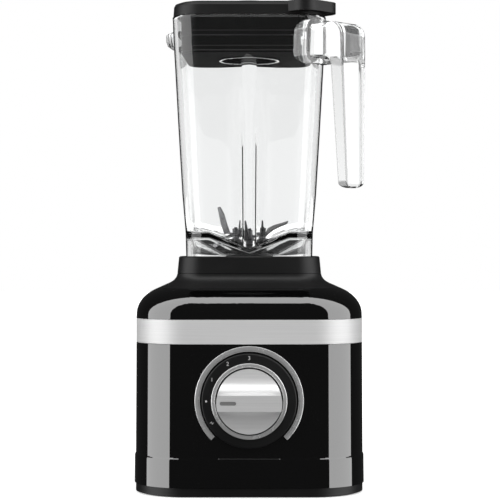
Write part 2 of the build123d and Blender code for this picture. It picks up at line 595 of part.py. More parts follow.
with BuildPart() as jar_body:
    for level, wide, deep, corner in JAR_SKIN:
        with BuildSketch(Plane.XY.offset(level)):
            RectangleRounded(2 * wide, 2 * deep, corner)
    loft(ruled=True)
    for level, radial, mouth in ((SPOUT_LOW, 60.0, 16.0), (SPOUT_HIGH, 72.0, 20.0)):
        with BuildSketch(Plane.XY.offset(level)):
            with Locations((-radial * DIAGONAL, radial * DIAGONAL)):
                Circle(mouth)
    loft()
    with BuildSketch(Plane.XY.offset(JAR_LOW)):
        RectangleRounded(2 * 47.4, 2 * 47.4, 15.0)
    extrude(amount=18.5, mode=Mode.SUBTRACT)
    for level, half, corner in BOWL_OUTSIDE:
        with BuildSketch(Plane.XY.offset(level)):
            RectangleRounded(2 * half, 2 * half, corner)
    loft(ruled=True)
    for level, half, corner in BOWL_INSIDE:
        with BuildSketch(Plane.XY.offset(level)):
            RectangleRounded(2 * half, 2 * half, corner)
    loft(ruled=True, mode=Mode.SUBTRACT)
    for level, wide, deep, corner in inner_skin:
        with BuildSketch(Plane.XY.offset(level)):
            RectangleRounded(2 * wide, 2 * deep, corner)
    loft(ruled=True, mode=Mode.SUBTRACT)
    for level, radial, mouth in ((SPOUT_LOW, 57.6, 13.0), (SPOUT_HIGH, 72.0, 17.0)):
        with BuildSketch(Plane.XY.offset(level)):
            with Locations((-radial * DIAGONAL, radial * DIAGONAL)):
                Circle(mouth)
    loft(mode=Mode.SUBTRACT)
    for half_turn in (0, 180):
        for level, half, rise in ((RIB_LOW, 7.0, 3.0), (RIB_HIGH, 5.0, 0.9)):
            inside = wall_inside(level)
            with BuildSketch(Plane.XY.offset(level).rotated((0, 0, half_turn))):
                with BuildLine():
                    Polyline((-half - 2, inside + 1), (-half, inside - 0.2),
                             (-half * 0.45, inside - rise), (half * 0.45, inside - rise),
                             (half, inside - 0.2), (half + 2, inside + 1), close=True)
                make_face()
        loft(ruled=True)
    with Locations((0, 0, 180.0)):
        Cylinder(HUB_HOLE, 20.0, align=(Align.CENTER, Align.CENTER, Align.MIN), mode=Mode.SUBTRACT)
jar_body.part.label = "jar_body"

GRIP_IN, GRIP_OUT = 101.4, 114.6     # grip at its top, measured from the axis
TOE_IN, TOE_OUT = 106.6, 116.9       # and at its free lower end
GRIP_END = 238.0
ARM_LOW, ARM_TOP = 341.0, 367.0
ROOT_LOW, ROOT_TOP = 337.0, 371.5
side_view = Plane(origin=(0, 0, 0), x_dir=(DIAGONAL, -DIAGONAL, 0), z_dir=(-DIAGONAL, -DIAGONAL, 0))
end_view = Plane(origin=(0, 0, 0), x_dir=(-DIAGONAL, -DIAGONAL, 0), z_dir=(-DIAGONAL, DIAGONAL, 0))
root_view = Plane(origin=(66.0 * DIAGONAL, -66.0 * DIAGONAL, 0), x_dir=(DIAGONAL, DIAGONAL, 0),
                  z_dir=(DIAGONAL, -DIAGONAL, 0))

with BuildPart() as jar_handle:
    with BuildSketch(side_view):
        with BuildLine():
            FilletPolyline((66, ARM_TOP), (GRIP_OUT, ARM_TOP), (TOE_OUT, GRIP_END), (TOE_IN, GRIP_END),
                           (GRIP_IN, ARM_LOW), (66.0, ARM_LOW), radius=(12.0, 4.6, 4.6, 8.0))
            Line((66, ARM_LOW), (66, ARM_TOP))
        make_face()
    extrude(amount=15.0, both=True)
    with BuildSketch(end_view):
        with BuildLine():
            Polyline((-14.3, 380), (-14.3, 345), (-10.1, 232), (10.1, 232), (14.3, 345), (14.3, 380),
                     close=True)
        make_face()
    extrude(amount=130.0, both=True, mode=Mode.INTERSECT)
    fillet(jar_handle.edges().filter_by(lambda edge: edge.length > 50), 2.4)
    with BuildSketch(end_view):
        with BuildLine():
            FilletPolyline((-14.6, 380), (-14.6, 345), (-10.6, GRIP_END), (10.6, GRIP_END), (14.6, 345),
                           (14.6, 380), radius=(20.0, 8.0, 8.0, 20.0))
            Line((14.6, 380), (-14.6, 380))
        make_face()
    extrude(amount=130.0, both=True, mode=Mode.INTERSECT)
    with BuildSketch(root_view):
        with Locations((0, (ROOT_TOP + ROOT_LOW) / 2)):
            RectangleRounded(36.0, ROOT_TOP - ROOT_LOW, 9.5)
    extrude(amount=15.0)
    for level, wide, deep, corner in inset(JAR_SKIN, -SEAM):
        with BuildSketch(Plane.XY.offset(level)):
            RectangleRounded(2 * wide, 2 * deep, corner)
    loft(ruled=True, mode=Mode.SUBTRACT)
jar_handle.part.label = "jar_handle"

with BuildPart() as jar_collar:
    for level, half, corner in ((COLLAR_LOW, 57.5, 20.0), (COLLAR_TOP, 56.2, 19.4)):
        with BuildSketch(Plane.XY.offset(level)):
            RectangleRounded(2 * half, 2 * half, corner)
    loft(ruled=True)
    chamfer(jar_collar.edges().group_by(Axis.Z)[-1], 0.8)
    with BuildSketch(Plane.XY.offset(COLLAR_LOW)):
        RectangleRounded(2 * 53.6, 2 * 53.6, 17.0)
    extrude(amount=6.6, mode=Mode.SUBTRACT)
    with BuildSketch(Plane.XY.offset(JAR_LOW - 0.2)):
        RectangleRounded(2 * 51.1, 2 * 51.1, 18.4)
    extrude(amount=6.0, mode=Mode.SUBTRACT)
    with Locations((0, 0, 170.0)):
        Cylinder(18.0, 20.0, align=(Align.CENTER, Align.CENTER, Align.MIN), mode=Mode.SUBTRACT)
jar_collar.part.label = "jar_collar"

# ---------------------------------------------------------------- jar: blade mounting
HUB_R = 12.5
SPINDLE_R = 4.0
hub_low = JAR_LOW - 0.1

with BuildPart() as blade_housing:
    with Locations((0, 0, hub_low)):
        Cylinder(20.0, 3.0, align=(Align.CENTER, Align.CENTER, Align.MIN))
        Cylinder(HUB_R, 15.0, align=(Align.CENTER, Align.CENTER, Align.MIN))
        Cylinder(6.0, 15.0, align=(Align.CENTER, Align.CENTER, Align.MIN), mode=Mode.SUBTRACT)
    with Locations((0, 0, 195.0)):
        Cylinder(8.0, 5.0, align=(Align.CENTER, Align.CENTER, Align.MIN), mode=Mode.SUBTRACT)
blade_housing.part.label = "blade_housing"

with BuildPart() as blade_bushes:
    with Locations((0, 0, 182.4), (0, 0, 190.0)):
        Cylinder(5.95, 4.6, align=(Align.CENTER, Align.CENTER, Align.MIN))
        Cylinder(SPINDLE_R + RUN, 4.6, align=(Align.CENTER, Align.CENTER, Align.MIN), mode=Mode.SUBTRACT)
blade_bushes.part.label = "blade_bushes"

with BuildPart() as blade_seal:
    with Locations((0, 0, 195.0)):
        Cylinder(7.9, 2.6, align=(Align.CENTER, Align.CENTER, Align.MIN))
        Cylinder(SPINDLE_R + GAP, 2.6, align=(Align.CENTER, Align.CENTER, Align.MIN), mode=Mode.SUBTRACT)
blade_seal.part.label = "blade_seal"

with BuildPart() as housing_gasket:
    with Locations((0, 0, hub_low + 3.0)):
        Cylinder(19.4, 1.3, align=(Align.CENTER, Align.CENTER, Align.MIN))
        Cylinder(HUB_HOLE + 0.2, 1.3, align=(Align.CENTER, Align.CENTER, Align.MIN), mode=Mode.SUBTRACT)
housing_gasket.part.label = "housing_gasket"

with BuildPart() as hub_nut:
    with BuildSketch(Plane.XY.offset(FLOOR_MID + 0.1)):
        RegularPolygon(18.0, 6)
        Circle(HUB_R + SEAM, mode=Mode.SUBTRACT)
    extrude(amount=4.4)
    chamfer(hub_nut.edges().group_by(Axis.Z)[-1], 0.8)
hub_nut.part.label = "hub_nut"

# ---------------------------------------------------------------- blades
BLADE_T, TIP_T = 1.8, 0.9
BLADE_HUB_R = 8.5
LOWER_BLADE_Z, UPPER_BLADE_Z = 199.8, 201.7
# wings: (direction from +X in degrees, start of the bend, bend upwards, roll round its own line, length,
# width at root, at tip)
lower_wings = [(280.0, 15.0, 66.0, 0.0, 14.5, 6.0, 2.4), (214.0, 9.5, -9.0, 0.0, 19.0, 14.0, 4.0)]
upper_wings = [(200.0, 18.2, 70.0, 22.0, 24.0, 13.0, 3.0), (-30.0, 9.6, 20.0, 32.0, 28.0, 14.0, 4.0)]


def wing_planes(level, direction, bend_at, bend, roll, reach):
    """Section planes of one wing: near the hub, at the bend, just past the bend, at the tip."""
    ahead = Vector(1, 0, 0).rotate(Axis.Z, direction)
    across = Vector(0, 1, 0).rotate(Axis.Z, direction)
    climb = ahead * math.cos(math.radians(bend)) + Vector(0, 0, math.sin(math.radians(bend)))
    rolled = across.rotate(Axis((0, 0, 0), climb), roll)
    knee = ahead * bend_at + Vector(0, 0, level + BLADE_T / 2)
    overlap = abs(math.tan(math.radians(bend / 2))) * BLADE_T / 2
    stations = ((ahead * 2 + Vector(0, 0, knee.Z), across, ahead), (knee, across, ahead),
                (knee - climb * overlap, rolled, climb), (knee + climb * reach, rolled, climb))
    return [Plane(origin=point, x_dir=side, z_dir=normal) for point, side, normal in stations]


with BuildPart() as blade_spindle:
    with Locations((0, 0, 176.9)):
        Cylinder(SPINDLE_R, 31.6, align=(Align.CENTER, Align.CENTER, Align.MIN))
    chamfer(blade_spindle.edges().group_by(Axis.Z)[-1], 1.0)
blade_spindle.part.label = "blade_spindle"

with BuildPart() as blade_washer:
    with Locations((0, 0, 198.0)):
        Cylinder(7.4, 1.8, align=(Align.CENTER, Align.CENTER, Align.MIN))
        Cylinder(SPINDLE_R + RUN, 1.8, align=(Align.CENTER, Align.CENTER, Align.MIN), mode=Mode.SUBTRACT)
blade_washer.part.label = "blade_washer"

with BuildPart() as lower_blades:
    with Locations((0, 0, LOWER_BLADE_Z)):
        Cylinder(BLADE_HUB_R, BLADE_T, align=(Align.CENTER, Align.CENTER, Align.MIN))
    for direction, bend_at, bend, roll, reach, root, tip in lower_wings:
        hub, knee, climb, end = wing_planes(LOWER_BLADE_Z, direction, bend_at, bend, roll, reach)
        with BuildSketch(hub):
            Rectangle(root - 2, BLADE_T)
        with BuildSketch(knee):
            Rectangle(root, BLADE_T)
        loft(ruled=True)
        with BuildSketch(climb):
            Rectangle(root, BLADE_T)
        with BuildSketch(end):
            Rectangle(tip, TIP_T)
        loft(ruled=True)
    with Locations((0, 0, LOWER_BLADE_Z)):
        Cylinder(SPINDLE_R + RUN, BLADE_T, align=(Align.CENTER, Align.CENTER, Align.MIN), mode=Mode.SUBTRACT)
lower_blades.part.label = "lower_blades"

with BuildPart() as upper_blades:
    with Locations((0, 0, UPPER_BLADE_Z)):
        Cylinder(BLADE_HUB_R, BLADE_T, align=(Align.CENTER, Align.CENTER, Align.MIN))
    for direction, bend_at, bend, roll, reach, root, tip in upper_wings:
        hub, knee, climb, end = wing_planes(UPPER_BLADE_Z, direction, bend_at, bend, roll, reach)
        with BuildSketch(hub):
            Rectangle(root - 2, BLADE_T)
        with BuildSketch(knee):
            Rectangle(root, BLADE_T)
        loft(ruled=True)
        with BuildSketch(climb):
            Rectangle(root, BLADE_T)
        with BuildSketch(end):
            Rectangle(tip, TIP_T)
        loft(ruled=True)
    with Locations((0, 0, UPPER_BLADE_Z)):
        Cylinder(SPINDLE_R + RUN, BLADE_T, align=(Align.CENTER, Align.CENTER, Align.MIN), mode=Mode.SUBTRACT)
upper_blades.part.label = "upper_blades"

with BuildPart() as blade_nut:
    with BuildSketch(Plane.XY.offset(UPPER_BLADE_Z + BLADE_T)):
        RegularPolygon(7.0, 6)
        Circle(SPINDLE_R + RUN, mode=Mode.SUBTRACT)
    extrude(amount=3.8)
    chamfer(blade_nut.edges().group_by(Axis.Z)[-1], 0.5)
blade_nut.part.label = "blade_nut"

with BuildPart() as driven_coupler:
    with Locations((0, 0, 164.0)):
        Cylinder(16.0, 16.6, align=(Align.CENTER, Align.CENTER, Align.MIN))
    fillet(driven_coupler.edges().group_by(Axis.Z)[0], 1.0)
    with BuildSketch(Plane.XY.offset(163.0)):
        Circle(8.0)
        with PolarLocations(7.6, LOBES):
            Circle(3.0)
    extrude(amount=13.8, mode=Mode.SUBTRACT)
    with Locations((0, 0, 176.0)):
        Cylinder(SPINDLE_R + RUN, 8.0, align=(Align.CENTER, Align.CENTER, Align.MIN), mode=Mode.SUBTRACT)
driven_coupler.part.label = "driven_coupler"

# ---------------------------------------------------------------- lid and measuring cap
CAP_R = 24.8
PLUG_LOW = 346.4
LID_FLOOR = 380.0

with BuildPart() as lid_cover:
    for level, wide, deep, corner in LID_SKIN:
        with BuildSketch(Plane.XY.offset(level)):
            RectangleRounded(2 * wide, 2 * deep, corner)
    loft(ruled=True)
    with BuildSketch(Plane(origin=(60.0 * DIAGONAL, -60.0 * DIAGONAL, 378.0), x_dir=(DIAGONAL, -DIAGONAL, 0),
                           z_dir=(0, 0, 1))):
        with Locations((3.7, 0)):
            RectangleRounded(39.6, 42.0, 12.0)
    extrude(amount=8.4)
    with BuildSketch(Plane.XY.offset(LID_LOW)):
        RectangleRounded(2 * 57.8, 2 * 57.8, 19.2)
    extrude(amount=LID_FLOOR - LID_LOW, mode=Mode.SUBTRACT)
    with Locations((0, 0, 370.0)):
        Cylinder(CAP_R + 0.6, 30.0, align=(Align.CENTER, Align.CENTER, Align.MIN), mode=Mode.SUBTRACT)
lid_cover.part.label = "lid_cover"

with BuildPart() as lid_seal:
    with BuildSketch(Plane.XY.offset(PLUG_LOW)):
        RectangleRounded(2 * 54.4, 2 * 54.4, 17.0)
    extrude(amount=LID_FLOOR - PLUG_LOW)
    with BuildSketch(Plane.XY.offset(377.0)):
        RectangleRounded(2 * 57.6, 2 * 57.6, 19.0)
    extrude(amount=LID_FLOOR - 377.0)
    for level, half in ((347.9, 56.3), (359.8, 57.0)):
        with BuildSketch(Plane.XY.offset(level)):
            RectangleRounded(2 * half, 2 * half, 18.2)
        extrude(amount=3.9)
    with BuildSketch(Plane.XY.offset(PLUG_LOW + 3.0)):
        RectangleRounded(2 * 51.8, 2 * 51.8, 14.6)
        Circle(CAP_R + 3.4, mode=Mode.SUBTRACT)
    extrude(amount=40.0, mode=Mode.SUBTRACT)
    with Locations((0, 0, 340.0)):
        Cylinder(CAP_R + 0.6, 60.0, align=(Align.CENTER, Align.CENTER, Align.MIN), mode=Mode.SUBTRACT)
lid_seal.part.label = "lid_seal"

CAP_LOW, CAP_TOP = 345.4, 391.8
with BuildPart() as measuring_cap:
    with Locations((0, 0, CAP_LOW)):
        Cylinder(CAP_R, CAP_TOP - 2.0 - CAP_LOW, align=(Align.CENTER, Align.CENTER, Align.MIN))
    with Locations((0, 0, LID_TOP + GAP)):
        Cylinder(28.5, CAP_TOP - LID_TOP - GAP, align=(Align.CENTER, Align.CENTER, Align.MIN))
    fillet(measuring_cap.edges().group_by(Axis.Z)[-1], 2.4)
    with Locations((0, 0, CAP_LOW)):
        Cylinder(CAP_R - 2.2, CAP_TOP - 2.6 - CAP_LOW, align=(Align.CENTER, Align.CENTER, Align.MIN),
                 mode=Mode.SUBTRACT)
measuring_cap.part.label = "measuring_cap"

# ---------------------------------------------------------------- files
pieces = [foot_ring, base_tray, tray_screws, lower_housing, trim_band, upper_housing, jar_pad, pad_screws,
          motor_lower_bracket, motor_upper_bracket, lower_bearing, upper_bearing, stator_core, field_coils,
          brush_holders, carbon_brushes, brush_springs, motor_screws, motor_mounts, mount_screws, air_baffle,
          control_board, interference_capacitor, thermal_cutout, rotary_switch, switch_nut, dial_plinth,
          dial_trim_ring, knob_bezel, cord_gland, motor_shaft, armature_core, armature_windings, commutator,
          cooling_fan, drive_coupler, control_knob, knob_shaft, jar_body, jar_handle, jar_collar,
          blade_housing, blade_bushes, blade_seal, housing_gasket, hub_nut, blade_spindle, blade_washer,
          lower_blades, upper_blades, blade_nut, driven_coupler, lid_cover, lid_seal, measuring_cap]
for piece in pieces:
    export_step(piece.part, f"parts/{piece.part.label}.step")
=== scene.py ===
import math

import bmesh
import bpy
from mathutils import Matrix, Vector


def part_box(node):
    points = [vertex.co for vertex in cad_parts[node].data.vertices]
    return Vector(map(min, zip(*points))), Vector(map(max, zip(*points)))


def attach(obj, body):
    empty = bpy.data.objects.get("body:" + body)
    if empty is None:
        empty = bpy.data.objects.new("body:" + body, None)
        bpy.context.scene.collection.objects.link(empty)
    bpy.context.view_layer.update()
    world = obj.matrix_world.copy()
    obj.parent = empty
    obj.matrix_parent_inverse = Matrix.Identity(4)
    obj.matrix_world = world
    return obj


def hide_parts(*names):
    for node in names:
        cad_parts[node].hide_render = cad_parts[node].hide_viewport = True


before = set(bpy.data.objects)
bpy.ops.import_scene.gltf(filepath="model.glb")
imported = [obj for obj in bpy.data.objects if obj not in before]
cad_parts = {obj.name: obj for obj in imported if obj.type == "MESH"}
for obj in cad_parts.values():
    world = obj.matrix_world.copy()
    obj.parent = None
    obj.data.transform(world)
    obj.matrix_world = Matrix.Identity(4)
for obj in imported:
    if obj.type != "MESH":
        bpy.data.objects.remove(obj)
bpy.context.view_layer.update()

# The point of view: level, straight at the dial side, with a long lens from over a metre away.
# It stands at the height of the jar's foot, so the lid is seen slightly from below.
camera_data = bpy.data.cameras.new("viewpoint")
camera_data.lens = 115.9
camera_data.sensor_width = 36.0
camera = bpy.data.objects.new("viewpoint", camera_data)
camera.location = (0.0006, -1.327, 0.190)
camera.rotation_euler = (math.radians(90.0), 0.0, 0.0)
bpy.context.scene.collection.objects.link(camera)
bpy.context.scene.camera = camera
bpy.context.scene.view_settings.view_transform = "Standard"


# The studio: a room that is white to the eye and dark in the gloss, and one soft arch of light over
# the object from side to side. The arch's reflection draws the pale frame on the front of the base.
def node(tree, kind, inputs=None, **settings):
    """A shader node with its settings, and its inputs given as values or as sockets to link."""
    made = tree.nodes.new(kind)
    for name, value in settings.items():
        setattr(made, name, value)
    for socket, value in (inputs or {}).items():
        if isinstance(value, bpy.types.NodeSocket):
            tree.links.new(value, made.inputs[socket])
        else:
            made.inputs[socket].default_value = value
    return made


def finished(shape, name):
    """The mesh of a bmesh, which is then done with."""
    mesh = bpy.data.meshes.new(name)
    shape.to_mesh(mesh)
    shape.free()
    return mesh


# strengths of the room: seen directly, mirrored, through clear plastic after a bounce (from the
# front, from overhead, from elsewhere), and as fill light from below and from above
room_white, room_dark = 1.0, 0.035
inner_front, inner_over, inner_round = 0.2, 0.45, 0.85
fill_below, fill_above = 0.4, 1.15
world = bpy.data.worlds.new("studio")
bpy.context.scene.world = world
world.use_nodes = True
sky = world.node_tree
sky.nodes.clear()
path = node(sky, "ShaderNodeLightPath")
heading = node(sky, "ShaderNodeTexCoord")
parts = node(sky, "ShaderNodeSeparateXYZ", {"Vector": heading.outputs["Generated"]})
fill = node(sky, "ShaderNodeMapRange", {"Value": parts.outputs["Z"], "From Min": -0.5, "From Max": 0.6,
                                        "To Min": fill_below, "To Max": fill_above})
mirrored = node(sky, "ShaderNodeMix", {"Factor": path.outputs["Is Glossy Ray"], "A": fill.outputs["Result"],
                                       "B": room_dark})
turned = node(sky, "ShaderNodeMath", {0: path.outputs["Glossy Depth"], 1: path.outputs["Diffuse Depth"]},
              operation="ADD", use_clamp=True)
overhead = node(sky, "ShaderNodeMapRange", {"Value": parts.outputs["Z"], "From Min": 0.15, "From Max": 0.4,
                                            "To Min": inner_round, "To Max": inner_over})
inner = node(sky, "ShaderNodeMapRange", {"Value": parts.outputs["Y"], "From Min": -0.95, "From Max": -0.6,
                                         "To Min": inner_front, "To Max": overhead.outputs["Result"]})
through = node(sky, "ShaderNodeMix", {"Factor": turned.outputs[0], "A": room_white,
                                      "B": inner.outputs["Result"]})
unseen = node(sky, "ShaderNodeMix", {"Factor": path.outputs["Is Transmission Ray"], "A": mirrored.outputs[0],
                                     "B": through.outputs[0]})
level = node(sky, "ShaderNodeMix", {"Factor": path.outputs["Is Camera Ray"], "A": unseen.outputs[0],
                                    "B": room_white})
room = node(sky, "ShaderNodeBackground", {"Color": (1, 1, 1, 1), "Strength": level.outputs[0]})
node(sky, "ShaderNodeOutputWorld", {"Surface": room.outputs[0]})

arch_glow, arch_steps = 3.0, 24
arch_half, arch_foot, arch_spring, arch_rise = 0.85, -0.35, 0.45, 1.0
arch_front, arch_back, front_lean, back_lean = -1.07, 0.03, 0.375, -0.05
arch_path = [(-arch_half, arch_spring, 0.0)]
for step in range(1, arch_steps):
    turn = math.pi * (1 - step / arch_steps)
    arch_path.append((arch_half * math.cos(turn), arch_spring + arch_rise * math.sin(turn),
                      math.sin(turn) ** 2))
arch_path += [(arch_half, arch_spring, 0.0), (arch_half, arch_foot, 0.0)]
shape = bmesh.new()
rung = shape.edges.new([shape.verts.new((-arch_half, y, arch_foot)) for y in (arch_front, arch_back)])
for x, z, over in arch_path:
    made = bmesh.ops.extrude_edge_only(shape, edges=[rung])["geom"]
    front, back = sorted((v for v in made if isinstance(v, bmesh.types.BMVert)), key=lambda v: v.co.y)
    front.co = (x, arch_front + front_lean * over, z)
    back.co = (x, arch_back + back_lean * over, z)
    rung = next(e for e in made if isinstance(e, bmesh.types.BMEdge) and front in e.verts and back in e.verts)
arch_mesh = finished(shape, "light_arch")
arch_paint = bpy.data.materials.new("arch_paint")
arch_paint.use_nodes = True
arch_paint.node_tree.nodes.clear()
glow = node(arch_paint.node_tree, "ShaderNodeEmission", {"Strength": arch_glow})
node(arch_paint.node_tree, "ShaderNodeOutputMaterial", {"Surface": glow.outputs[0]})
arch_mesh.materials.append(arch_paint)
arch = bpy.data.objects.new("light_arch", arch_mesh)
bpy.context.scene.collection.objects.link(arch)
arch.visible_camera = arch.visible_transmission = arch.visible_diffuse = arch.visible_shadow = False

floor_reach = 6.0
shape = bmesh.new()
bmesh.ops.create_grid(shape, x_segments=1, y_segments=1, size=floor_reach)
floor_mesh = finished(shape, "floor")
floor = bpy.data.objects.new("floor", floor_mesh)
bpy.context.scene.collection.objects.link(floor)
floor.visible_glossy = floor.visible_diffuse = False
floor_paint = bpy.data.materials.new("floor_paint")
floor_paint.use_nodes = True
for socket, value in (("Base Color", (0.93, 0.93, 0.93, 1)), ("Roughness", 0.9), ("Specular IOR Level", 0.0),
                      ("Emission Color", (1, 1, 1, 1)), ("Emission Strength", 0.5)):
    floor_paint.node_tree.nodes["Principled BSDF"].inputs[socket].default_value = value
floor_mesh.materials.append(floor_paint)


# The foot: a rubber ring let into the underside of a ribbed black tray, which closes the base from
# below.  Both are moulded with a fine matte texture, and four sunk screws hold the tray.
def grain_group():
    """Fine moulded texture: an even roughness with slow patches, and a small grain in the height."""
    group = bpy.data.node_groups.new("moulded_grain", "ShaderNodeTree")
    for name, kind in (("Vector", "NodeSocketVector"), ("Grain Scale", "NodeSocketFloat"),
                       ("Smoothest", "NodeSocketFloat"), ("Roughest", "NodeSocketFloat")):
        group.interface.new_socket(name, in_out="INPUT", socket_type=kind)
    for name in ("Roughness", "Height", "Patches"):
        group.interface.new_socket(name, in_out="OUTPUT", socket_type="NodeSocketFloat")
    taken = node(group, "NodeGroupInput")
    fine = node(group, "ShaderNodeTexNoise", {"Vector": taken.outputs["Vector"],
                                              "Scale": taken.outputs["Grain Scale"], "Detail": 3.0})
    slow = node(group, "ShaderNodeTexNoise", {"Vector": taken.outputs["Vector"], "Scale": 14.0,
                                              "Detail": 4.0, "Roughness": 0.6})
    rough = node(group, "ShaderNodeMapRange", {"Value": slow.outputs["Fac"], "From Min": 0.3, "From Max": 0.7,
                                               "To Min": taken.outputs["Smoothest"],
                                               "To Max": taken.outputs["Roughest"]})
    node(group, "NodeGroupOutput", {"Roughness": rough.outputs["Result"], "Height": fine.outputs["Fac"],
                                    "Patches": slow.outputs["Fac"]})
    return group


moulded_grain = grain_group()


def new_finish(name, sockets):
    """A new material, its node tree and its shader, with the shader's sockets set by name."""
    made = bpy.data.materials.new(name)
    made.use_nodes = True
    shader = made.node_tree.nodes["Principled BSDF"]
    for socket, value in sockets.items():
        shader.inputs[socket.replace("_", " ")].default_value = value
    return made, made.node_tree, shader


def grained(tree, grain, smooth, rough):
    """The shared grain on the object's own coordinates, between two roughnesses."""
    spot = node(tree, "ShaderNodeTexCoord")
    return node(tree, "ShaderNodeGroup", {"Vector": spot.outputs["Object"], "Grain Scale": grain,
                                          "Smoothest": smooth, "Roughest": rough}, node_tree=moulded_grain)


def dress(tree, shader, drive, span, colours, roughness, height, bump):
    """Links two tones over a span of what drives them, a roughness and a relief to a shader."""
    tones = node(tree, "ShaderNodeValToRGB", {"Fac": drive})
    for stop, place, colour in zip(tones.color_ramp.elements, span, colours):
        stop.position, stop.color = place, (*colour, 1)
    relief = node(tree, "ShaderNodeBump", {"Strength": 1.0, "Distance": bump, "Height": height})
    tree.links.new(tones.outputs["Color"], shader.inputs["Base Color"])
    tree.links.new(roughness, shader.inputs["Roughness"])
    tree.links.new(relief.outputs["Normal"], shader.inputs["Normal"])


def moulded(name, dark, light, grain, smooth, rough, bump, **sockets):
    """A moulded or cast finish: two close tones in soft patches, with the shared grain."""
    made, tree, shader = new_finish(name, sockets)
    texture = grained(tree, grain, smooth, rough)
    dress(tree, shader, texture.outputs["Patches"], (0.3, 0.7), (dark, light), texture.outputs["Roughness"],
          texture.outputs["Height"], bump)
    return made


def paint(material, *names):
    """Gives a finish to carried-over solids."""
    for name in names:
        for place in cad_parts[name].material_slots:
            place.material = material


matte_black = moulded("matte_black", (0.006, 0.006, 0.0063), (0.0085, 0.0085, 0.0088), 2600.0, 0.4, 0.5, 4e-6,
                      Specular_IOR_Level=0.3)
soft_rubber = moulded("soft_rubber", (0.012, 0.012, 0.0125), (0.016, 0.016, 0.0165), 1700.0, 0.6, 0.7, 5e-6)
zinc_steel = moulded("zinc_steel", (0.5, 0.5, 0.5), (0.62, 0.62, 0.61), 900.0, 0.25, 0.4, 4e-6, Metallic=1.0)
paint(matte_black, "base_tray")
paint(soft_rubber, "foot_ring")
paint(zinc_steel, "tray_screws")

# The base casing: two deep mouldings in high-gloss black that meet at the metal band.
# The gloss has the faint waviness of a moulded skin and a trace of handling marks.
gloss_black = moulded("gloss_black", (0.0022, 0.0022, 0.0023), (0.003, 0.003, 0.0031), 60.0, 0.01, 0.03, 4e-6,
                      IOR=2.0)
paint(gloss_black, "lower_housing", "upper_housing")


# The band between the casings: a strip of brushed metal bent round the base.
# The brush lines run along the strip, so they follow it round the corners.
def brushed(name, dark, light, stretch, smooth, rough, bump, **sockets):
    """A brushed metal: long lines where the coordinates are squeezed most."""
    made, tree, shader = new_finish(name, {"Metallic": 1.0, **sockets})
    spot = node(tree, "ShaderNodeTexCoord")
    squeezed = node(tree, "ShaderNodeMapping", {"Vector": spot.outputs["Object"], "Scale": stretch})
    lines = node(tree, "ShaderNodeTexNoise", {"Vector": squeezed.outputs["Vector"], "Scale": 1.0,
                                              "Detail": 6.0, "Roughness": 0.65})
    even = node(tree, "ShaderNodeMapRange", {"Value": lines.outputs["Fac"], "From Min": 0.25,
                                             "From Max": 0.75, "To Min": smooth, "To Max": rough})
    dress(tree, shader, lines.outputs["Fac"], (0.25, 0.75), (dark, light), even.outputs["Result"],
          lines.outputs["Fac"], bump)
    return made


band_metal = brushed("band_metal", (0.7, 0.7, 0.7), (0.82, 0.82, 0.82), (10.0, 10.0, 2600.0), 0.42, 0.52,
                     2e-6, Metallic=0.22, Specular_IOR_Level=0.2)
paint(band_metal, "trim_band")

# The jar pad: a soft-touch black moulding that flares up from the shoulder to a square seat.
# Four screws in its corners hold it down through the casing.
paint(matte_black, "jar_pad")
paint(zinc_steel, "pad_screws")

# The dial surround: a satin metal horseshoe let into the front, a raised black disc with the
# marks printed on it, and a polished ring round the knob.
ring_metal = brushed("ring_metal", (0.62, 0.62, 0.62), (0.74, 0.74, 0.74), (90.0, 900.0, 90.0), 0.22, 0.3,
                     2e-6, Metallic=0.55)
paint(matte_black, "dial_plinth")
paint(ring_metal, "dial_trim_ring", "knob_bezel")

plinth_low, plinth_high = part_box("dial_plinth")
dial_centre = (plinth_low + plinth_high) / 2
mark_radius, mark_height, mark_lift = 0.0329, 0.0029, 0.00012
figure_scale, dot_radius, stroke_width, stroke_overlap = 1.45, 0.0008, 0.0003, 0.0002
off_angle, pulse_angle = 180.0, 210.0
print_white = moulded("print_white", (0.6, 0.6, 0.6), (0.66, 0.66, 0.66), 3000.0, 0.4, 0.55, 2e-6)


def at_dial(angle, radius):
    """Point on the dial face at an angle from the right, counter-clockwise as seen from the front."""
    turn = math.radians(angle)
    return Vector((dial_centre.x + radius * math.cos(turn), plinth_low.y - mark_lift / 2,
                   dial_centre.z + radius * math.sin(turn)))


def add_piece(name, mesh, body, material):
    """Links a finished mesh at the origin and hangs it on its body."""
    piece = bpy.data.objects.new(name, mesh)
    bpy.context.scene.collection.objects.link(piece)
    mesh.materials.clear()
    mesh.materials.append(material)
    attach(piece, body)
    return piece


def printed(name, words, angle, size):
    """A printed figure, upright on the dial face."""
    curve = bpy.data.curves.new(name, "FONT")
    curve.body = words
    curve.size = size
    curve.align_x, curve.align_y = "CENTER", "CENTER"
    curve.extrude = mark_lift / 2
    drawn = bpy.data.objects.new(name, curve)
    mesh = bpy.data.meshes.new_from_object(drawn)
    bpy.data.objects.remove(drawn)
    mesh.transform(Matrix.Rotation(math.radians(90.0), 4, "X"))
    mesh.transform(Matrix.Translation(at_dial(angle, mark_radius)))
    return add_piece(name, mesh, "base", print_white)


for figure, angle in (("1", 150.0), ("2", 120.0), ("3", 90.0)):
    printed("figure_" + figure, figure, angle, mark_height * figure_scale)

shape = bmesh.new()
bmesh.ops.create_cone(shape, cap_ends=True, segments=24, radius1=dot_radius, radius2=dot_radius,
                      depth=mark_lift)
bmesh.ops.rotate(shape, verts=shape.verts[:], matrix=Matrix.Rotation(math.radians(90.0), 3, "X"))
bmesh.ops.translate(shape, verts=shape.verts[:], vec=at_dial(off_angle, mark_radius))
add_piece("off_mark", finished(shape, "off_mark"), "base", print_white)

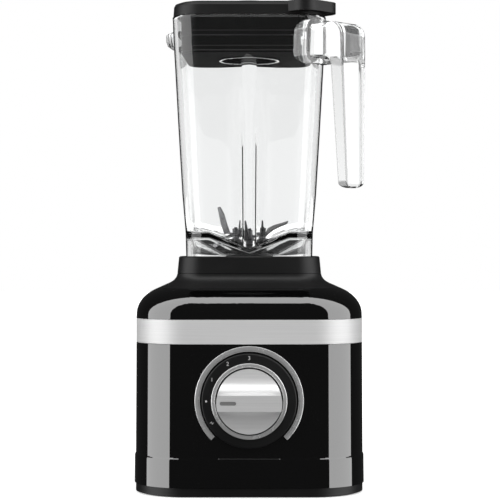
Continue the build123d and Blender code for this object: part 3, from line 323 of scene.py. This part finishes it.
# the pulse mark's zigzag in millimetres, across and up
pulse_line = [(-1.5, 0.0), (-0.8, 0.0), (-0.3, 1.1), (0.3, -1.1), (0.8, 0.0), (1.5, 0.0)]
shape = bmesh.new()
for (start_x, start_z), (end_x, end_z) in zip(pulse_line, pulse_line[1:]):
    stroke = bmesh.ops.create_cube(shape, size=1.0)["verts"]
    span = Vector((end_x - start_x, 0, end_z - start_z)) / 1000
    bmesh.ops.scale(shape, verts=stroke, vec=(span.length + stroke_overlap, mark_lift, stroke_width))
    bmesh.ops.rotate(shape, verts=stroke, matrix=Matrix.Rotation(-math.atan2(span.z, span.x), 3, "Y"))
    middle = Vector((start_x + end_x, 0, start_z + end_z)) / 2000
    bmesh.ops.translate(shape, verts=stroke, vec=at_dial(pulse_angle, mark_radius) + middle)
add_piece("pulse_mark", finished(shape, "pulse_mark"), "base", print_white)

# The control knob: a die-cast disc with two hollows that leave a grip bar across it.
# Its lines are brushed along the bar, and a slot at one end shows where it points; a dark metal strip sunk in
# the slot is painted shade for the slot's recess.
knob_brushing = (12.0, 1500.0, 1500.0)
knob_metal = brushed("knob_metal", (0.8, 0.8, 0.8), (0.93, 0.93, 0.93), knob_brushing, 0.3, 0.4, 2e-6,
                     Metallic=0.4, Specular_IOR_Level=0.3)
paint(knob_metal, "control_knob")
knob_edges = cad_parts["control_knob"].modifiers.new("knob_edges", "BEVEL")
knob_edges.width, knob_edges.segments = 0.0006, 3
knob_edges.limit_method, knob_edges.angle_limit = "ANGLE", math.radians(35.0)
knob_edges.harden_normals = True
paint(zinc_steel, "knob_shaft")

knob_low, knob_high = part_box("control_knob")
# a darker strip sunk in the pointer slot: painted shade in its recess, not a real inlay
slot_shade_length, slot_shade_width, slot_shade_depth, slot_shade_end = 0.0122, 0.0026, 0.0004, 0.48
slot_shade_reach, slot_shade_sink = 0.016, 0.0006
slot_shade_centre = Vector((-slot_shade_reach, knob_low.y + slot_shade_sink, (knob_low.z + knob_high.z) / 2))
shape = bmesh.new()
bmesh.ops.create_cube(shape, size=1.0)
bmesh.ops.scale(shape, verts=shape.verts[:], vec=(slot_shade_length, slot_shade_depth, slot_shade_width))
corners = [edge for edge in shape.edges if abs((edge.verts[0].co - edge.verts[1].co).normalized().y) > 0.9]
bmesh.ops.bevel(shape, geom=corners, offset=slot_shade_width * slot_shade_end, segments=6, affect="EDGES", profile=0.5,
                material=-1)
bmesh.ops.translate(shape, verts=shape.verts[:], vec=slot_shade_centre)
slot_shade_metal = brushed("slot_shade_metal", (0.26, 0.26, 0.26), (0.36, 0.36, 0.36), knob_brushing, 0.3, 0.4, 2e-6,
                      Metallic=0.4)
add_piece("pointer_slot_shade", finished(shape, "pointer_slot_shade"), "knob", slot_shade_metal)

# The lead's inlet: a plain black bush let into the back of the casing, low on one side.
# It has the same matte moulded finish as the tray beneath it.
paint(matte_black, "cord_gland")

# The motor: two cast brackets on rubber mounts, a laminated core with copper coils, brushes in
# brass boxes, and a duct round the fan.
cast_metal = moulded("cast_metal", (0.5, 0.5, 0.51), (0.62, 0.62, 0.63), 500.0, 0.45, 0.6, 1e-5, Metallic=1.0)
laminated = brushed("laminated", (0.13, 0.12, 0.12), (0.3, 0.3, 0.31), (20.0, 20.0, 1800.0), 0.4, 0.6, 8e-6)
copper_wire = brushed("copper_wire", (0.42, 0.15, 0.06), (0.78, 0.36, 0.18), (60.0, 60.0, 1400.0), 0.25, 0.4,
                      2e-5)
bearing_steel = brushed("bearing_steel", (0.62, 0.62, 0.62), (0.75, 0.75, 0.75), (400.0, 400.0, 40.0),
                        0.12, 0.2, 1e-6)
bronze = moulded("bronze", (0.5, 0.32, 0.12), (0.62, 0.44, 0.18), 800.0, 0.3, 0.45, 4e-6, Metallic=1.0)
carbon = moulded("carbon", (0.02, 0.02, 0.02), (0.035, 0.035, 0.035), 1500.0, 0.5, 0.7, 6e-6)
grey_nylon = moulded("grey_nylon", (0.05, 0.05, 0.052), (0.075, 0.075, 0.078), 900.0, 0.4, 0.55, 6e-6)
paint(cast_metal, "motor_lower_bracket", "motor_upper_bracket")
paint(laminated, "stator_core", "armature_core")
paint(copper_wire, "field_coils", "armature_windings", "commutator")
paint(bearing_steel, "lower_bearing", "upper_bearing", "motor_shaft", "brush_springs")
paint(bronze, "brush_holders", "blade_bushes")
paint(carbon, "carbon_brushes")
paint(zinc_steel, "motor_screws", "mount_screws", "switch_nut")
paint(soft_rubber, "motor_mounts")
paint(grey_nylon, "air_baffle", "cooling_fan", "drive_coupler", "driven_coupler")

# The electrics: a small board on pegs, with its capacitor, a cut-out on the core and the switch.
# The board is green with solder mask, and the other three have amber cases.
board_green = moulded("board_green", (0.01, 0.09, 0.035), (0.02, 0.16, 0.06), 700.0, 0.25, 0.4, 4e-6)
case_amber = moulded("case_amber", (0.4, 0.28, 0.08), (0.5, 0.36, 0.12), 900.0, 0.35, 0.5, 4e-6)
paint(board_green, "control_board")
paint(case_amber, "interference_capacitor", "thermal_cutout", "rotary_switch")


# The jar and its handle: thick clear moulded plastic, faintly cool, with a smooth wavy skin.
# The jar is a rounded square that widens to the rim, with a spout in the back left corner, a rib
# inside the front and the back, and a floor that falls to a hub from four high corners.
most_bounces = 6.5


def clear(name, tint, index, smooth, rough, bump):
    """A clear moulded plastic with a real wall, a soft waviness and hardly any haze.

    It lets rays straight through in two cases: first reflections in other surfaces, which would
    find a bright jar in the dark gloss, and rays that have bounced so often that they are trapped.
    """
    made, tree, shader = new_finish(name, {"Transmission Weight": 1.0, "IOR": index})
    texture = grained(tree, 22.0, smooth, rough)
    dress(tree, shader, texture.outputs["Patches"], (0.0, 1.0), ([part * 0.985 for part in tint], tint),
          texture.outputs["Roughness"], texture.outputs["Height"], bump)
    ray = node(tree, "ShaderNodeLightPath")
    bounced = node(tree, "ShaderNodeMath", {0: ray.outputs["Glossy Depth"], 1: 0.5}, operation="GREATER_THAN")
    outside = node(tree, "ShaderNodeMath", {0: ray.outputs["Transmission Depth"], 1: 0.5},
                   operation="LESS_THAN")
    first = node(tree, "ShaderNodeMath", {0: bounced.outputs[0], 1: outside.outputs[0]}, operation="MULTIPLY")
    trapped = node(tree, "ShaderNodeMath", {0: ray.outputs["Ray Depth"], 1: most_bounces},
                   operation="GREATER_THAN")
    passing = node(tree, "ShaderNodeMath", {0: first.outputs[0], 1: trapped.outputs[0]}, operation="MAXIMUM")
    open_way = node(tree, "ShaderNodeBsdfTransparent")
    mixed = node(tree, "ShaderNodeMixShader", {0: passing.outputs[0], 1: shader.outputs[0],
                                               2: open_way.outputs[0]})
    tree.links.new(mixed.outputs[0], tree.nodes["Material Output"].inputs["Surface"])
    return made


clear_plastic = clear("clear_plastic", (0.975, 0.98, 0.98), 1.5, 0.0, 0.01, 2e-5)

# rings of the jar in millimetres, up the outside, down the inside, in to the hub's hole and back
# out under the floor: height, half width, corner radius, rib depth, spout reach, and how far the
# ring falls from the corners to the middle of each side
jar_rings = [(182.0, 50.2, 17.6, 0, 0, 0), (182.4, 50.6, 18.0, 0, 0, 0), (183.6, 50.65, 18.0, 0, 0, 0),
             (204.0, 51.2, 19.0, 0, 0, 0), (234.0, 53.7, 20.0, 0, 0, 0), (284.0, 56.6, 21.0, 0, 0, 0),
             (334.0, 59.3, 22.0, 0, 0, 0), (354.0, 60.4, 22.0, 0, 0, 0), (358.6, 60.6, 22.0, 0, 4.0, 0),
             (362.4, 60.8, 22.0, 0, 14.0, 0), (365.6, 60.9, 22.0, 0, 20.0, 0),
             (369.4, 61.0, 22.0, 0, 22.0, 0), (373.6, 61.2, 22.0, 0, 22.0, 0),
             (375.4, 61.3, 22.0, 0, 21.4, 0), (375.8, 60.9, 21.6, 0, 20.8, 0),
             (375.8, 58.6, 19.3, 0, 19.6, 0), (375.4, 58.2, 18.9, 0, 19.4, 0),
             (373.6, 58.1, 18.9, 0, 19.4, 0), (369.4, 57.8, 18.8, 0, 19.0, 0),
             (365.6, 57.7, 18.8, 0, 16.6, 0), (362.4, 57.6, 18.8, 0, 10.0, 0),
             (358.6, 57.4, 18.8, 0, 2.0, 0), (354.0, 57.2, 18.8, 0, 0, 0), (334.0, 56.1, 18.8, 0, 0, 0),
             (326.0, 55.7, 18.6, 0.9, 0, 0), (284.0, 53.4, 17.8, 2.2, 0, 0),
             (234.0, 50.5, 16.8, 3.0, 0, 0), (212.0, 48.9, 16.2, 3.2, 0, 2.0),
             (205.4, 48.3, 16.0, 3.0, 0, 12.0), (204.0, 47.9, 15.9, 2.2, 0, 12.6),
             (203.2, 47.0, 15.8, 1.0, 0, 12.7), (202.6, 45.6, 15.6, 0, 0, 12.5),
             (201.4, 42.8, 15.4, 0, 0, 11.5), (191.6, 23.5, 14.2, 0, 0, 1.8),
             (190.4, 20.6, 13.8, 0, 0, 0.8), (190.0, 18.6, 13.4, 0, 0, 0.5),
             (189.8, 13.7, 12.6, 0, 0, 0.3), (189.4, 13.3, 12.2, 0, 0, 0.3), (186.7, 13.3, 12.2, 0, 0, 0),
             (186.3, 13.7, 12.6, 0, 0, 0), (186.3, 19.6, 13.4, 0, 0, 0), (186.7, 21.8, 14.0, 0, 0, 0.4),
             (187.8, 24.2, 14.2, 0, 0, 1.4), (198.4, 43.0, 15.0, 0, 0, 10.8),
             (199.8, 45.6, 15.0, 0, 0, 11.9), (200.0, 46.6, 15.0, 0, 0, 12.1),
             (199.0, 47.3, 15.0, 0, 0, 11.7), (197.4, 47.4, 15.0, 0, 0, 10.8),
             (183.6, 47.4, 15.0, 0, 0, 0), (182.4, 47.4, 15.0, 0, 0, 0), (182.0, 47.8, 15.4, 0, 0, 0)]
arc_steps, rib_side = 8, 0.14
side_places = (0.0, rib_side, 0.165, 0.6)


def ring_points(height, half, corner, rib, spout, fall):
    """The points of one ring in order: a rounded square, with the two ribs and the spout drawn in."""
    straight = half - corner
    points = []
    for quarter in range(4):
        turn = Matrix.Rotation(math.radians(90.0 * quarter), 3, "Z")
        ribbed = rib if quarter % 2 else 0.0
        next_ribbed = rib if quarter % 2 == 0 else 0.0
        for place in side_places:
            points.append(turn @ Vector((half - ribbed * (place <= rib_side), place * straight,
                                         height - fall * (1 - place))))
        for step in range(arc_steps + 1):
            around = math.pi / 2 * step / arc_steps
            bulge = math.sin(2 * around) if quarter == 1 else 0.0
            out = Vector((straight + corner * math.cos(around), straight + corner * math.sin(around), height))
            out += Vector((math.sqrt(0.5), math.sqrt(0.5), 0)) * spout * bulge
            points.append(turn @ out)
        for place in reversed(side_places[1:]):
            points.append(turn @ Vector((place * straight, half - next_ribbed * (place <= rib_side),
                                         height - fall * (1 - place))))
    return [point / 1000 for point in points]


def in_order(verts):
    """Ring vertices sorted counter-clockwise, starting at the middle of the right-hand side."""
    return sorted(verts, key=lambda v: (math.atan2(v.co.y, v.co.x) + 0.01) % (2 * math.pi))


shape = bmesh.new()
ring_size = len(ring_points(*jar_rings[0]))
bmesh.ops.create_circle(shape, cap_ends=False, segments=ring_size, radius=0.05)
loop = in_order(shape.verts)
first_edges = edges = shape.edges[:]
for vert, point in zip(loop, ring_points(*jar_rings[0])):
    vert.co = point
for ring in jar_rings[1:]:
    made = bmesh.ops.extrude_edge_only(shape, edges=edges)["geom"]
    loop = in_order(v for v in made if isinstance(v, bmesh.types.BMVert))
    own = set(loop)
    edges = [e for e in made if isinstance(e, bmesh.types.BMEdge) and set(e.verts) <= own]
    for vert, point in zip(loop, ring_points(*ring)):
        vert.co = point
bmesh.ops.bridge_loops(shape, edges=first_edges + edges)
bmesh.ops.recalc_face_normals(shape, faces=shape.faces)
jar_mesh = finished(shape, "jar")
jar_mesh.shade_smooth()
jar = add_piece("jar", jar_mesh, "jar", clear_plastic)
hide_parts("jar_body")
paint(clear_plastic, "jar_handle")
paint(matte_black, "jar_collar")

# The blade mounting: a black hub through the jar's floor, held by a nut from below.
# A gasket seals it to the floor, and a lip seal and two bronze bushes carry the spindle.
dark_nylon = moulded("dark_nylon", (0.02, 0.02, 0.021), (0.035, 0.035, 0.036), 900.0, 0.35, 0.5, 6e-6)
paint(dark_nylon, "blade_housing", "hub_nut")
paint(soft_rubber, "blade_seal", "housing_gasket")

# The blades: four wings of ground steel at different slopes, clamped by a nut on the spindle.
# The steel's colour is painted dark, as painted shade for blades seen against the light behind them, with
# short grinding lines.
blade_steel = brushed("blade_steel", (0.08, 0.08, 0.083), (0.2, 0.2, 0.205), (300.0, 300.0, 120.0),
                      0.25, 0.36, 3e-6)
paint(blade_steel, "blade_spindle", "blade_washer", "lower_blades", "upper_blades", "blade_nut")

# The lid: a matte black cover with a lift tab over the handle, and a ribbed seal inside the jar.
# The seal is dull and nearly black, and thin lighter lines painted at the edges of its two ribs are painted
# highlights that stand in for the little light they catch.
paint(matte_black, "lid_cover")
seal_black = moulded("seal_black", (0.002, 0.002, 0.0021), (0.003, 0.003, 0.0031), 300.0, 0.75, 0.85, 1e-6,
                     Specular_IOR_Level=0.02)
# painted highlights: a lighter tone mixed into the seal's colour in thin bands at the heights of the rib
# edges
rib_edges, highlight_reach, rib_highlight_tone = (0.3481, 0.3516, 0.3599, 0.3635), 0.0003, (0.045, 0.045, 0.046, 1)
tree = seal_black.node_tree
tone = tree.nodes["Principled BSDF"].inputs["Base Color"].links[0].from_socket
spot = node(tree, "ShaderNodeTexCoord")
rise = node(tree, "ShaderNodeSeparateXYZ", {0: spot.outputs["Object"]})
for edge in rib_edges:
    highlight_mask = node(tree, "ShaderNodeMath", {0: rise.outputs["Z"], 1: edge, 2: highlight_reach}, operation="COMPARE")
    mix = node(tree, "ShaderNodeMix", {0: highlight_mask.outputs[0], 6: tone, 7: rib_highlight_tone}, data_type="RGBA")
    tone = mix.outputs[2]
tree.links.new(tone, tree.nodes["Principled BSDF"].inputs["Base Color"])
paint(seal_black, "lid_seal")

# The measuring cap: a smoke-clear cup that plugs the middle of the lid.
# Its rim shows as a bright ring under the seal, and its top stands a little above the cover.
smoke_plastic = clear("smoke_plastic", (0.25, 0.255, 0.26), 1.5, 0.02, 0.06, 1e-5)
paint(smoke_plastic, "measuring_cap")
